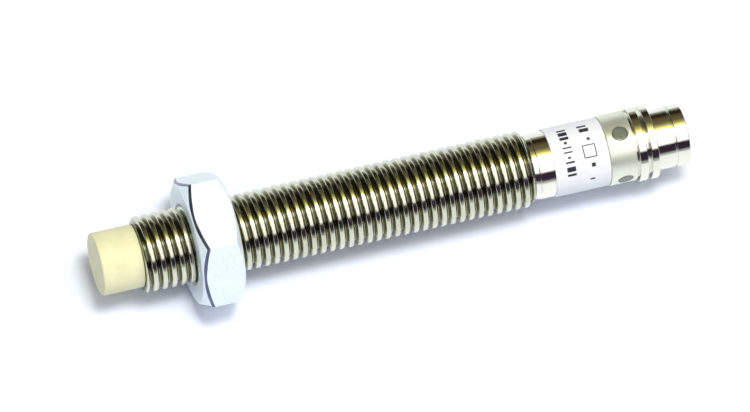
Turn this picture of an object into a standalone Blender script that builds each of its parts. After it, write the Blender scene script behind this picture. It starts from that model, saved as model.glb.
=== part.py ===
"""M8 cylindrical inductive proximity sensor: capped coil, threaded barrel, plug connector and one hex lock nut.

The sensor's axis is world +X and the centre of the sensing face is the origin. Stations and radii are in
millimetres, as (station along the axis, radius) pairs. Flats of the nut and two of the four indicator
windows face +Z and -Z.
"""

import math

import bmesh
import bpy
from mathutils import Matrix, Vector

MM = 0.001
STEPS = 24
FINE_STEPS = 48
EDGE_ANGLE = 25.0

# Sensing cap: a plastic cup with a skirt that enters the barrel.
CAP_RADIUS = 3.3
CAP_END = 4.4
CAP_EDGE = 0.3
CAP_FRONT_WALL = 0.6
CAP_BORE = 2.5
SKIRT_RADIUS = 2.78
SKIRT_END = 9.0

# M8 x 1 thread: basic profile with 60 degree flanks. Rise and fade are counted in steps of the turn.
PITCH = 1.0
CREST_RADIUS = 4.0
ROOT_RADIUS = 3.387
CREST_FLAT = 0.125
THREAD_START = 4.45
THREAD_END = 46.4
FIRST_FOOT = 4.5
THREAD_TURNS = 40
THREAD_RISE = 8
THREAD_FADE = 6

# Barrel
BARREL_BORE = 2.85
NECK_RADIUS = 3.5
BARREL_END = 51.6
SOCKET_RADIUS = 3.15
SOCKET_START = 47.5

# Lock nut, 13 mm across flats. Its threaded lining is a piece by itself.
NUT_FRONT = 9.75
NUT_THICKNESS = 4.6
NUT_FLATS = 13.0
NUT_FACE_RADIUS = 6.15
NUT_CHAMFER = 30.0
ENVELOPE_SPIN = 2.0
NUT_BORE = 4.53
LINING_RADIUS = 4.45
LINING_BORE = 4.06
LINING_SINK = 0.3

# Rear housing: spigot, seat for the label, window section, two collars and a nose round the socket.
SHELL_START = 47.6
SPIGOT_RADIUS = 3.1
SHELL_BORE = 2.75
SEAT_START = 51.65
WINDOW_START = 54.6
WINDOW_END = 57.45
WINDOW_SECTION_RADIUS = 3.7
WINDOW_STATION = 56.15
WINDOW_RADIUS = 0.82
WINDOW_SIDES = 20
WINDOW_SPIN = 4.0
NECKING_RADIUS = 3.45
COLLAR_RADIUS = 3.95
COLLAR_EDGE = 0.08
COLLARS = ((57.65, 58.55), (58.95, 59.75))
COLLAR_GROOVE_RADIUS = 3.3
NOSE_RADIUS = 3.25
NOSE_GROOVE = (61.73, 61.93)
NOSE_GROOVE_RADIUS = 3.12
NOSE_END = 63.3

# Label film
LABEL_START = 48.65
LABEL_END = 54.55
LABEL_INSIDE = 3.51
LABEL_OUTSIDE = 3.6

# Coil assembly inside the cap
CORE_RADIUS = 2.4
CORE_FRONT = 0.85
CORE_BACK = 3.65
CORE_FLOOR = 2.85
CORE_WALL_INSIDE = 2.0
CORE_POST_RADIUS = 0.85
SLOT_WIDTH = 0.6
BOBBIN_FRONT = 0.95
BOBBIN_BACK = 2.75
BOBBIN_BORE = 0.95
BOBBIN_BARREL = 1.12
BOBBIN_FLANGE = 1.9
FLANGE_THICKNESS = 0.2
WINDING_INSIDE = 1.2
WINDING_OUTSIDE = 1.78
LEAD_RADIUS = 0.1

# Circuit board and its chips
BOARD_START = 5.0
BOARD_END = 57.3
BOARD_WIDTH = 4.4
BOARD_THICKNESS = 0.8
SOLDER_GAP = 0.03
LED_SIZE = (1.6, 0.8, 0.6)

# Light guide: a clear ring with four bosses that fill the windows
GUIDE_START = 54.95
GUIDE_END = 57.4
GUIDE_INSIDE = 2.45
GUIDE_OUTSIDE = 2.68
BOSS_RADIUS = 0.76
BOSS_END = 3.66

# Plug insert and pins
CARRIER_START = 57.6
CARRIER_END = 60.1
CARRIER_RADIUS = 2.68
KEY_END = 62.5
PIN_RADIUS = 0.5
PIN_TAIL_RADIUS = 0.3
PIN_TIP = 62.7
PIN_CLEARANCE = 0.05
PIN_SPREAD = 1.4
PIN_LOW = -0.75
PIN_HIGH = 1.45
TAIL_HEIGHT = 0.75

# Resin
FRONT_RESIN = (6.6, 8.9, 2.42)
REAR_RESIN = (50.0, 54.6, 2.65)
RESIN_GAP = 0.05

AXIS_TURN = (0.0, math.pi / 2, 0.0)
WINDOW_ANGLES = (0, 90, 180, 270)


def clear_scene():
    for obj in list(bpy.data.objects):
        bpy.data.objects.remove(obj, do_unlink=True)


def make_collection(name, helper=False):
    collection = bpy.data.collections.new(name)
    bpy.context.scene.collection.children.link(collection)
    collection.hide_render = helper
    return collection


def make_material(name, colour, roughness, metallic=0.0, transmission=0.0):
    material = bpy.data.materials.new(name)
    material.use_nodes = True
    shader = material.node_tree.nodes["Principled BSDF"]
    shader.inputs["Base Color"].default_value = (*colour, 1.0)
    shader.inputs["Roughness"].default_value = roughness
    shader.inputs["Metallic"].default_value = metallic
    shader.inputs["Transmission Weight"].default_value = transmission
    material.diffuse_color = (*colour, 1.0)
    return material


clear_scene()
PARTS = make_collection("Proximity_Sensor")
CUTTERS = make_collection("Cutters", helper=True)

IVORY = make_material("ivory_plastic", (0.80, 0.76, 0.55), 0.45)
NICKEL = make_material("nickel_plating", (0.66, 0.64, 0.60), 0.22, metallic=1.0)
SATIN_NICKEL = make_material("satin_nickel", (0.62, 0.63, 0.58), 0.35, metallic=1.0)
BRIGHT_ZINC = make_material("bright_nut_plating", (0.78, 0.80, 0.80), 0.30, metallic=1.0)
LABEL_WHITE = make_material("label_film", (0.88, 0.89, 0.90), 0.40)
FERRITE = make_material("ferrite", (0.06, 0.06, 0.065), 0.70)
BOBBIN_WHITE = make_material("bobbin_plastic", (0.75, 0.74, 0.70), 0.50)
COPPER = make_material("enamelled_copper", (0.72, 0.33, 0.14), 0.30, metallic=1.0)
BOARD_GREEN = make_material("board_laminate", (0.03, 0.20, 0.08), 0.45)
CHIP_BLACK = make_material("chip_epoxy", (0.03, 0.03, 0.03), 0.55)
CERAMIC_TAN = make_material("ceramic_chip", (0.55, 0.42, 0.26), 0.50)
RESISTOR_DARK = make_material("resistor_chip", (0.05, 0.05, 0.06), 0.40)
LED_CLEAR = make_material("led_resin", (0.85, 0.75, 0.25), 0.20, transmission=0.3)
GUIDE_CLEAR = make_material("clear_polycarbonate", (0.70, 0.76, 0.66), 0.15, transmission=0.6)
INSERT_BLACK = make_material("insert_plastic", (0.04, 0.04, 0.045), 0.50)
GOLD = make_material("gold_plating", (0.85, 0.62, 0.25), 0.20, metallic=1.0)
RESIN = make_material("casting_resin", (0.10, 0.09, 0.08), 0.35)


def add_object(name, mesh, material, collection):
    obj = bpy.data.objects.new(name, mesh)
    collection.objects.link(obj)
    if material:
        mesh.materials.append(material)
    if collection is CUTTERS:
        obj.hide_render = True
        obj.display_type = "WIRE"
    return obj


def turned(name, outline, material=None, collection=PARTS, closed=True, steps=STEPS):
    """A turned piece about the sensor's axis, from its outline taken along the outside from front to back."""
    points = [(radius * MM, 0.0, station * MM) for station, radius in reversed(outline)]
    edges = [(i, i + 1) for i in range(len(points) - 1)]
    if closed:
        edges.append((len(points) - 1, 0))
    mesh = bpy.data.meshes.new(name)
    mesh.from_pydata(points, edges, [])
    obj = add_object(name, mesh, material, collection)
    obj.rotation_euler = AXIS_TURN
    screw = obj.modifiers.new("Turn", "SCREW")
    screw.axis = "Z"
    screw.angle = 2 * math.pi
    screw.steps = steps
    screw.render_steps = steps
    screw.use_merge_vertices = True
    screw.merge_threshold = 0.000001
    screw.use_smooth_shade = False
    return obj


def bar(name, centre, size, material=None, collection=PARTS):
    """A rectangular block, by its centre and its full size, in millimetres."""
    mesh = bpy.data.meshes.new(name)
    bm = bmesh.new()
    bmesh.ops.create_cube(bm, size=1.0)
    bmesh.ops.scale(bm, vec=Vector(size) * MM, verts=bm.verts)
    bm.to_mesh(mesh)
    bm.free()
    obj = add_object(name, mesh, material, collection)
    obj.location = Vector(centre) * MM
    return obj


def rod(name, centre, radius, length, direction, material=None, collection=PARTS, sides=STEPS):
    """A plain prism or cylinder whose axis runs along the given direction."""
    mesh = bpy.data.meshes.new(name)
    bm = bmesh.new()
    bmesh.ops.create_cone(
        bm,
        cap_ends=True,
        segments=sides,
        radius1=radius * MM,
        radius2=radius * MM,
        depth=length * MM,
    )
    bm.to_mesh(mesh)
    bm.free()
    obj = add_object(name, mesh, material, collection)
    obj.location = Vector(centre) * MM
    obj.rotation_euler = Vector(direction).to_track_quat("Z", "Y").to_euler()
    return obj


def wire(name, path, radii, material, resolution=2):
    """A round wire along a path of points, with its own radius at each point, as one closed mesh."""
    curve = bpy.data.curves.new(name + "_path", "CURVE")
    curve.dimensions = "3D"
    curve.bevel_depth = 1.0
    curve.bevel_resolution = resolution
    curve.use_fill_caps = True
    spline = curve.splines.new("POLY")
    spline.points.add(len(path) - 1)
    for point, place, radius in zip(spline.points, path, radii):
        point.co = (*(Vector(place) * MM), 1.0)
        point.radius = radius * MM
    guide = bpy.data.objects.new(name + "_path", curve)
    CUTTERS.objects.link(guide)
    bpy.context.view_layer.update()
    graph = bpy.context.evaluated_depsgraph_get()
    mesh = bpy.data.meshes.new_from_object(guide.evaluated_get(graph))
    bpy.data.objects.remove(guide, do_unlink=True)
    bm = bmesh.new()
    bm.from_mesh(mesh)
    bmesh.ops.remove_doubles(bm, verts=bm.verts, dist=0.0000005)
    bmesh.ops.recalc_face_normals(bm, faces=bm.faces)
    bm.to_mesh(mesh)
    bm.free()
    mesh.materials.clear()
    return add_object(name, mesh, material, PARTS)


def combine(obj, other, operation):
    modifier = obj.modifiers.new(operation.title(), "BOOLEAN")
    modifier.operation = operation
    modifier.solver = "EXACT"
    modifier.object = other


def settle(obj):
    """Applies the modifiers and shades the round faces smooth, with the real edges kept sharp."""
    bpy.context.view_layer.update()
    graph = bpy.context.evaluated_depsgraph_get()
    mesh = bpy.data.meshes.new_from_object(obj.evaluated_get(graph))
    obj.modifiers.clear()
    obj.data = mesh
    mesh.shade_smooth()
    mesh.set_sharp_from_angle(angle=math.radians(EDGE_ANGLE))


def radial(angle):
    """The outward direction at an angle about the sensor's axis, from +Z towards -Y."""
    turn = math.radians(angle)
    return Vector((0.0, -math.sin(turn), math.cos(turn)))


def barrel_mesh(name):
    """The barrel's skin: a right-hand helical thread that rises and fades at its ends, the neck and the bore.

    No modifier closes a helix into a tube without slivers, so the skin is laid out turn by turn. Four lines
    run along the helix: the ridge's two feet and the two edges of its crest.
    """
    bm = bmesh.new()
    flank = (CREST_RADIUS - ROOT_RADIUS) * math.tan(math.radians(30))
    places = (0.0, flank, flank + CREST_FLAT, 2 * flank + CREST_FLAT)
    last = THREAD_TURNS * STEPS

    def point(step, radius, station):
        angle = 2 * math.pi * step / STEPS
        place = (radius * math.cos(angle), radius * math.sin(angle), station)
        return bm.verts.new(Vector(place) * MM)

    def line(index, steps):
        made = []
        for step in range(steps):
            rise = min(1.0, step / THREAD_RISE, max(0.0, last - step) / THREAD_FADE)
            height = (CREST_RADIUS - ROOT_RADIUS) * rise if index in (1, 2) else 0.0
            station = FIRST_FOOT + PITCH * step / STEPS + places[index]
            made.append(point(step, ROOT_RADIUS + height, station))
        return made

    def ring(radius, station):
        return [point(step, radius, station) for step in range(STEPS)]

    foot = line(0, last + STEPS + 1)
    rise, crest, heel = (line(index, last + 1) for index in (1, 2, 3))
    for step in range(last):
        for near, far in ((foot, rise), (rise, crest), (crest, heel)):
            bm.faces.new((near[step], near[step + 1], far[step + 1], far[step]))
        bm.faces.new((heel[step], heel[step + 1], foot[step + 1 + STEPS], foot[step + STEPS]))

    front = ring(ROOT_RADIUS, THREAD_START)
    for step in range(STEPS - 1):
        bm.faces.new((front[step], front[step + 1], foot[step + 1], foot[step]))
    chain = (front[0], foot[0], rise[0], crest[0], heel[0], foot[STEPS], foot[STEPS - 1])
    for near, far in zip(chain, chain[1:]):
        bm.faces.new((front[-1], near, far))

    rear = ring(ROOT_RADIUS, THREAD_END)
    for step in range(1, STEPS):
        near, far = rear[step], rear[(step + 1) % STEPS]
        bm.faces.new((foot[last + step], foot[last + step + 1], far, near))
    chain = (rear[0], foot[last + STEPS], heel[last], crest[last], rise[last], foot[last], foot[last + 1])
    for near, far in zip(chain, chain[1:]):
        bm.faces.new((rear[1], near, far))

    rings = [
        rear,
        ring(NECK_RADIUS, THREAD_END + 0.1),
        ring(NECK_RADIUS, BARREL_END),
        ring(SOCKET_RADIUS, BARREL_END),
        ring(SOCKET_RADIUS, SOCKET_START),
        ring(BARREL_BORE, SOCKET_START),
        ring(BARREL_BORE, THREAD_START),
        front,
    ]
    for near, far in zip(rings, rings[1:]):
        for step in range(STEPS):
            after = (step + 1) % STEPS
            bm.faces.new((near[step], near[after], far[after], far[step]))

    bmesh.ops.recalc_face_normals(bm, faces=bm.faces)
    mesh = bpy.data.meshes.new(name)
    bm.to_mesh(mesh)
    bm.free()
    return mesh


# ---------------------------------------------------------------- sensing cap and coil

turned(
    "sensing_cap",
    (
        (0.0, 0.0),
        (0.0, CAP_RADIUS - CAP_EDGE - 0.05),
        (0.07, CAP_RADIUS - 0.17),
        (CAP_EDGE, CAP_RADIUS),
        (CAP_END, CAP_RADIUS),
        (CAP_END, SKIRT_RADIUS),
        (SKIRT_END, SKIRT_RADIUS),
        (SKIRT_END, CAP_BORE),
        (CAP_FRONT_WALL, CAP_BORE),
        (CAP_FRONT_WALL, 0.0),
    ),
    IVORY,
    closed=False,
)

core = turned(
    "ferrite_core",
    (
        (CORE_FRONT, 0.0),
        (CORE_FRONT, CORE_POST_RADIUS),
        (CORE_FLOOR, CORE_POST_RADIUS),
        (CORE_FLOOR, CORE_WALL_INSIDE),
        (CORE_FRONT, CORE_WALL_INSIDE),
        (CORE_FRONT, CORE_RADIUS),
        (CORE_BACK, CORE_RADIUS),
        (CORE_BACK, 0.0),
    ),
    FERRITE,
    closed=False,
)

bobbin = turned(
    "coil_bobbin",
    (
        (BOBBIN_FRONT, BOBBIN_FLANGE),
        (BOBBIN_FRONT + FLANGE_THICKNESS, BOBBIN_FLANGE),
        (BOBBIN_FRONT + FLANGE_THICKNESS, BOBBIN_BARREL),
        (BOBBIN_BACK - FLANGE_THICKNESS, BOBBIN_BARREL),
        (BOBBIN_BACK - FLANGE_THICKNESS, BOBBIN_FLANGE),
        (BOBBIN_BACK, BOBBIN_FLANGE),
        (BOBBIN_BACK, BOBBIN_BORE),
        (BOBBIN_FRONT, BOBBIN_BORE),
    ),
    BOBBIN_WHITE,
)

WINDING_FRONT = BOBBIN_FRONT + FLANGE_THICKNESS + 0.05
WINDING_BACK = BOBBIN_BACK - FLANGE_THICKNESS - 0.05
turned(
    "coil_winding",
    (
        (WINDING_FRONT, WINDING_OUTSIDE),
        (WINDING_BACK, WINDING_OUTSIDE),
        (WINDING_BACK, WINDING_INSIDE),
        (WINDING_FRONT, WINDING_INSIDE),
    ),
    COPPER,
)

for number, side in ((1, 1), (2, -1)):
    slot_start = 1.35
    slot_end = CORE_RADIUS + 0.6
    slot = bar(
        f"lead_slot_{number}",
        (CORE_BACK, side * (slot_start + slot_end) / 2, 0.0),
        (2 * (CORE_BACK - 2.0), slot_end - slot_start, SLOT_WIDTH),
        collection=CUTTERS,
    )
    combine(core, slot, "DIFFERENCE")
    combine(bobbin, slot, "DIFFERENCE")
    pad_height = BOARD_THICKNESS / 2 + LEAD_RADIUS + 0.02
    wire(
        f"coil_lead_{number}",
        (
            (2.3, side * 1.9, 0.0),
            (4.2, side * 1.9, 0.0),
            (4.75, side * 1.8, pad_height * 0.8),
            (5.3, side * 1.7, pad_height),
            (6.2, side * 1.5, pad_height),
        ),
        [LEAD_RADIUS] * 5,
        COPPER,
        resolution=1,
    )

# ---------------------------------------------------------------- threaded barrel

barrel = add_object("threaded_barrel", barrel_mesh("threaded_barrel"), NICKEL, PARTS)
barrel.rotation_euler = AXIS_TURN

# ---------------------------------------------------------------- lock nut

NUT_BACK = NUT_FRONT + NUT_THICKNESS
NUT_CENTRE = (NUT_FRONT + NUT_BACK) / 2
CORNER_RADIUS = NUT_FLATS / 2 / math.cos(math.radians(30))
chamfer_rise = (CORNER_RADIUS + 0.3 - NUT_FACE_RADIUS) * math.tan(math.radians(NUT_CHAMFER))

nut = rod(
    "lock_nut",
    (NUT_CENTRE, 0.0, 0.0),
    CORNER_RADIUS,
    NUT_THICKNESS + 2.0,
    (1.0, 0.0, 0.0),
    BRIGHT_ZINC,
    sides=6,
)
nut.data.transform(Matrix.Rotation(math.radians(30), 4, "Z"))
nut_envelope = turned(
    "nut_envelope",
    (
        (NUT_FRONT, 0.0),
        (NUT_FRONT, NUT_FACE_RADIUS),
        (NUT_FRONT + chamfer_rise, CORNER_RADIUS + 0.3),
        (NUT_BACK - chamfer_rise, CORNER_RADIUS + 0.3),
        (NUT_BACK, NUT_FACE_RADIUS),
        (NUT_BACK, 0.0),
    ),
    collection=CUTTERS,
    closed=False,
    steps=FINE_STEPS,
)
nut_envelope.data.transform(Matrix.Rotation(math.radians(ENVELOPE_SPIN), 4, "Z"))
combine(nut, nut_envelope, "INTERSECT")
nut_bore = rod(
    "nut_bore",
    (NUT_CENTRE, 0.0, 0.0),
    NUT_BORE,
    NUT_THICKNESS + 4.0,
    (1.0, 0.0, 0.0),
    collection=CUTTERS,
)
combine(nut, nut_bore, "DIFFERENCE")

turned(
    "lock_nut_thread",
    (
        (NUT_FRONT, LINING_RADIUS),
        (NUT_BACK, LINING_RADIUS),
        (NUT_BACK, LINING_BORE + LINING_SINK),
        (NUT_BACK - LINING_SINK, LINING_BORE),
        (NUT_FRONT + LINING_SINK, LINING_BORE),
        (NUT_FRONT, LINING_BORE + LINING_SINK),
    ),
    BRIGHT_ZINC,
)

# ---------------------------------------------------------------- rear housing and label

shell_outline = [
    (SHELL_START, SPIGOT_RADIUS),
    (SEAT_START, SPIGOT_RADIUS),
    (SEAT_START, NECK_RADIUS),
    (WINDOW_START, NECK_RADIUS),
    (WINDOW_START, WINDOW_SECTION_RADIUS - COLLAR_EDGE),
    (WINDOW_START + COLLAR_EDGE, WINDOW_SECTION_RADIUS),
    (WINDOW_END, WINDOW_SECTION_RADIUS),
    (WINDOW_END, NECKING_RADIUS),
    (COLLARS[0][0], NECKING_RADIUS),
]
for start, end in COLLARS:
    if start > COLLARS[0][0]:
        shell_outline.append((start, COLLAR_GROOVE_RADIUS))
    shell_outline.append((start, COLLAR_RADIUS - COLLAR_EDGE))
    shell_outline.append((start + COLLAR_EDGE, COLLAR_RADIUS))
    shell_outline.append((end - COLLAR_EDGE, COLLAR_RADIUS))
    shell_outline.append((end, COLLAR_RADIUS - COLLAR_EDGE))
    if start == COLLARS[0][0]:
        shell_outline.append((end, COLLAR_GROOVE_RADIUS))
shell_outline += [
    (COLLARS[1][1], NOSE_RADIUS),
    (NOSE_GROOVE[0], NOSE_RADIUS),
    (NOSE_GROOVE[0], NOSE_GROOVE_RADIUS),
    (NOSE_GROOVE[1], NOSE_GROOVE_RADIUS),
    (NOSE_GROOVE[1], NOSE_RADIUS),
    (NOSE_END - 0.2, NOSE_RADIUS),
    (NOSE_END, NOSE_RADIUS - 0.15),
    (NOSE_END, SHELL_BORE + 0.12),
    (NOSE_END - 0.15, SHELL_BORE),
    (SHELL_START, SHELL_BORE),
]
shell = turned("connector_shell", shell_outline, SATIN_NICKEL)

guide = turned(
    "light_guide",
    (
        (GUIDE_START, GUIDE_OUTSIDE),
        (GUIDE_END, GUIDE_OUTSIDE),
        (GUIDE_END, GUIDE_INSIDE),
        (GUIDE_START, GUIDE_INSIDE),
    ),
    GUIDE_CLEAR,
)

for angle in WINDOW_ANGLES:
    outward = radial(angle)
    middle = Vector((WINDOW_STATION, 0.0, 0.0)) + outward * 3.5
    hole = rod(
        f"window_hole_{angle}",
        middle,
        WINDOW_RADIUS,
        2.6,
        outward,
        collection=CUTTERS,
        sides=WINDOW_SIDES,
    )
    hole.data.transform(Matrix.Rotation(math.radians(WINDOW_SPIN), 4, "Z"))
    combine(shell, hole, "DIFFERENCE")
    boss_start = (GUIDE_INSIDE + GUIDE_OUTSIDE) / 2
    middle = Vector((WINDOW_STATION, 0.0, 0.0)) + outward * (boss_start + BOSS_END) / 2
    boss = rod(
        f"window_boss_{angle}",
        middle,
        BOSS_RADIUS,
        BOSS_END - boss_start,
        outward,
        collection=CUTTERS,
        sides=WINDOW_SIDES,
    )
    boss.data.transform(Matrix.Rotation(math.radians(WINDOW_SPIN), 4, "Z"))
    combine(guide, boss, "UNION")

turned(
    "label_sleeve",
    (
        (LABEL_START, LABEL_OUTSIDE),
        (LABEL_END, LABEL_OUTSIDE),
        (LABEL_END, LABEL_INSIDE),
        (LABEL_START, LABEL_INSIDE),
    ),
    LABEL_WHITE,
)

# ---------------------------------------------------------------- circuit board and its chips

BOARD_TOP = BOARD_THICKNESS / 2
bar(
    "circuit_board",
    ((BOARD_START + BOARD_END) / 2, 0.0, 0.0),
    (BOARD_END - BOARD_START, BOARD_WIDTH, BOARD_THICKNESS),
    BOARD_GREEN,
)


def packaged(name, station, offset, side, size, legs, material):
    """A moulded chip with flat legs along its two long sides, standing on one side of the board."""
    length, width, height = size
    base = BOARD_TOP + SOLDER_GAP
    body = bar(
        name,
        (station, offset, side * (base + 0.1 + height / 2)),
        (length, width, height),
        material,
    )
    for number, (along, across) in enumerate(legs):
        leg = bar(
            f"{name}_leg_{number}",
            (station + along, offset + across * (width / 2 + 0.1), side * (base + 0.15)),
            (0.3, 0.6, 0.3),
            collection=CUTTERS,
        )
        combine(body, leg, "UNION")


def chip(name, station, offset, side, size, material):
    """A two-ended ceramic chip whose end caps stand slightly proud of its body."""
    length, width, height = size
    middle = side * (BOARD_TOP + SOLDER_GAP + height / 2)
    body = bar(name, (station, offset, middle), (length - 0.1, width - 0.08, height - 0.08), material)
    for number, end in ((1, -1), (2, 1)):
        cap = bar(
            f"{name}_end_{number}",
            (station + end * (length / 2 - 0.15), offset, middle),
            (0.3, width, height),
            collection=CUTTERS,
        )
        combine(body, cap, "UNION")


EIGHT_LEGS = [(along, across) for along in (-1.05, -0.35, 0.35, 1.05) for across in (-1, 1)]
THREE_LEGS = [(-0.95, -1), (0.95, -1), (0.0, 1)]
packaged("oscillator_chip", 14.0, 0.0, 1, (3.0, 2.6, 0.9), EIGHT_LEGS, CHIP_BLACK)
packaged("output_transistor", 40.0, 0.0, 1, (2.9, 1.6, 1.0), THREE_LEGS, CHIP_BLACK)
packaged("voltage_regulator", 31.0, 0.0, -1, (2.9, 1.6, 1.0), THREE_LEGS, CHIP_BLACK)

CHIPS = (
    ("capacitor_1", 10.6, 0.0, -1, (2.0, 1.25, 0.9), CERAMIC_TAN),
    ("capacitor_2", 19.0, 1.1, 1, (2.0, 1.25, 0.9), CERAMIC_TAN),
    ("capacitor_3", 35.5, 0.0, 1, (3.2, 1.6, 1.2), CERAMIC_TAN),
    ("resistor_1", 19.0, -1.1, 1, (1.6, 0.8, 0.5), RESISTOR_DARK),
    ("resistor_2", 22.5, 0.0, 1, (1.6, 0.8, 0.5), RESISTOR_DARK),
    ("resistor_3", 26.0, -0.9, -1, (1.6, 0.8, 0.5), RESISTOR_DARK),
    ("resistor_4", 44.5, 0.9, 1, (2.0, 1.25, 0.6), RESISTOR_DARK),
    ("protection_diode", 45.0, 0.0, -1, (2.6, 1.4, 1.0), CHIP_BLACK),
    ("indicator_led_1", WINDOW_STATION, 0.0, 1, LED_SIZE, LED_CLEAR),
    ("indicator_led_2", WINDOW_STATION, 0.0, -1, LED_SIZE, LED_CLEAR),
)
for description in CHIPS:
    chip(*description)

# ---------------------------------------------------------------- plug insert, pins and resin

carrier = rod(
    "contact_carrier",
    ((CARRIER_START + CARRIER_END) / 2, 0.0, 0.0),
    CARRIER_RADIUS,
    CARRIER_END - CARRIER_START,
    (1.0, 0.0, 0.0),
    INSERT_BLACK,
)
key_start = CARRIER_END - 0.5
key = bar(
    "key_rib",
    ((key_start + KEY_END) / 2, 0.0, -2.42),
    (KEY_END - key_start, 0.6, 0.42),
    collection=CUTTERS,
)
combine(carrier, key, "UNION")

PINS = (
    ("contact_pin_1", PIN_SPREAD, PIN_LOW, PIN_SPREAD, -TAIL_HEIGHT),
    ("contact_pin_2", -PIN_SPREAD, PIN_LOW, -PIN_SPREAD, -TAIL_HEIGHT),
    ("contact_pin_3", 0.0, PIN_HIGH, -1.25, TAIL_HEIGHT),
)
for name, across, up, tail_across, tail_up in PINS:
    wire(
        name,
        (
            (PIN_TIP, across, up),
            (PIN_TIP - 0.12, across, up),
            (PIN_TIP - 0.35, across, up),
            (CARRIER_START - 0.02, across, up),
            (CARRIER_START - 0.06, across, up),
            (CARRIER_START - 0.25, across, up),
            (CARRIER_START - 0.9, tail_across, tail_up),
            (CARRIER_START - 1.7, tail_across, tail_up),
        ),
        (0.2, 0.38, PIN_RADIUS, PIN_RADIUS, *[PIN_TAIL_RADIUS] * 4),
        GOLD,
    )
    hole = rod(
        name + "_hole",
        ((CARRIER_START + CARRIER_END) / 2, across, up),
        PIN_RADIUS + PIN_CLEARANCE,
        CARRIER_END - CARRIER_START + 1.0,
        (1.0, 0.0, 0.0),
        collection=CUTTERS,
    )
    combine(carrier, hole, "DIFFERENCE")

for name, (start, end, radius) in (("front_resin", FRONT_RESIN), ("rear_resin", REAR_RESIN)):
    plug = rod(
        name,
        ((start + end) / 2, 0.0, 0.0),
        radius,
        end - start,
        (1.0, 0.0, 0.0),
        RESIN,
    )
    slit = bar(
        name + "_slit",
        ((start + end) / 2, 0.0, 0.0),
        (
            end - start + 1.0,
            BOARD_WIDTH + 2 * RESIN_GAP,
            BOARD_THICKNESS + 2 * RESIN_GAP,
        ),
        collection=CUTTERS,
    )
    combine(plug, slit, "DIFFERENCE")

for part in list(PARTS.objects):
    settle(part)
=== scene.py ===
"""Looks of the M8 inductive proximity sensor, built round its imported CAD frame.

The sensor's axis is +X and its sensing face is at x = 0. Stations and radii are in millimetres, as
(station along the axis, radius) pairs; the frame is in metres. Angles about the axis run from +Y towards +Z.
"""

import math

import bmesh
import bpy
from mathutils import Matrix, Vector


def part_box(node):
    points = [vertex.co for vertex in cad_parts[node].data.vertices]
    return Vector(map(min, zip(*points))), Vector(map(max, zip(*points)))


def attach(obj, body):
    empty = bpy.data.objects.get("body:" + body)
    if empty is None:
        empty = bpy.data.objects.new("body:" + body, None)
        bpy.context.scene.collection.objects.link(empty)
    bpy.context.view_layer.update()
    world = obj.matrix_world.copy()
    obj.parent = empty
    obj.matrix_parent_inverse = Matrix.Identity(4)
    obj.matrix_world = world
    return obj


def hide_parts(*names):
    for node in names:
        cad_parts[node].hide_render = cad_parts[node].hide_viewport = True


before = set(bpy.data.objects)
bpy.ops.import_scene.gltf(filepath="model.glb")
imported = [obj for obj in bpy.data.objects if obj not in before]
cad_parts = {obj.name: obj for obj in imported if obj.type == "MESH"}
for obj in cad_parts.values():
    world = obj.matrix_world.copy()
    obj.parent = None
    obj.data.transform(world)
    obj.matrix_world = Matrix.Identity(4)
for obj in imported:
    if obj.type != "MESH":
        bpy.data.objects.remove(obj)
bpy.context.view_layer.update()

MM = 0.001
SIDES = 128
WELD = 1e-7  # metres: points closer than this become one
SLIVER = 1e-8  # metres: edges shorter than this are removed
SHARP_ANGLE = 38.0  # degrees: a sharper edge than this isn't shaded smooth
HOLD = 0.02  # distance of the loops that keep flat stretches flat beside a rounded edge
EDGE = 0.04  # usual softening of a machined edge
EDGE_STEPS = 4
MOST_REACH = 0.4  # share of a side that the rounding at one of its ends may take
MOST_HOLD = 0.08

# Sensing cap
CAP_RADIUS = 3.3
CAP_END = 4.4
CAP_BEVEL = 0.22
CAP_REAR_EDGE = 0.05
CAP_EDGE_STEPS = 6
CAP_BORE = 2.5
CAP_WALL = 0.6
SKIRT_RADIUS = 2.78
SKIRT_END = 9.0

# M8 x 1 thread and barrel
PITCH = 1.0
CREST = 4.0
ROOT = 3.4
# Rise of a rolled ridge from root to crest, as (share of the pitch, share of the depth)
RIDGE = (
    (0.0, 0.0), (0.04, 0.008), (0.075, 0.04), (0.105, 0.14), (0.145, 0.34), (0.185, 0.56), (0.225, 0.77),
    (0.26, 0.90), (0.295, 0.962), (0.335, 0.985), (0.40, 0.996), (0.5, 1.0),
)
THREAD_START = 4.45
THREAD_END = 46.5
THREAD_SIDES = 96
THREAD_SHARP_ANGLE = 50.0
FRONT_CHAMFER = 0.22
RUNOUT_START = 46.0
RELIEF_RADIUS = 3.43
RELIEF_END = 47.05
RELIEF_STEP = 0.05
NECK_RADIUS = 3.5
BARREL_BORE = 2.85
BARREL_END = 51.6
SOCKET_START = 47.5
SOCKET_RADIUS = 3.15
SNAP = 0.015  # rows this close to an end of the thread are moved onto it

# Lock nut
NUT_FRONT = 9.75
NUT_BACK = 14.35
NUT_FLATS = 13.0
NUT_FACE_RADIUS = 6.15
NUT_CORNER = 0.13
FRONT_EDGE, BACK_EDGE = 0.22, 0.12
PAINTED_REFLECTION_TILT = (0.05, 0.82)  # how far forward a face of the nut's front edge looks for it to get the dark painted reflection
NUT_BORE = 4.5
NUT_LIP = 0.27
NUT_LIP_EDGE = 0.06
NUT_ROUNDING = 0.09
NUT_CHAMFER = math.radians(30)
COUNTERSINK = 4.32
LINING_BORE = 4.06
LINING_OUTSIDE = 4.45
LINING_SINK = 0.3
LINING_LEAD = 0.3  # from each end of the lining to its first ridge
LINING_MOUTH = 0.1
LINING_TOOTH = 0.22
LINING_ROUNDING, LINING_STEPS = 0.05, 3
# Degrees from a corner of the hexagon at which its skin has a column: close together on the rounded corner
CORNER_COLUMNS = (0.0, 0.2, 0.4, 0.52, 0.7, 1.2, 2.5)
FLAT_COLUMN_STEP = 2.5
FLAT_COLUMNS = 11

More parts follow.
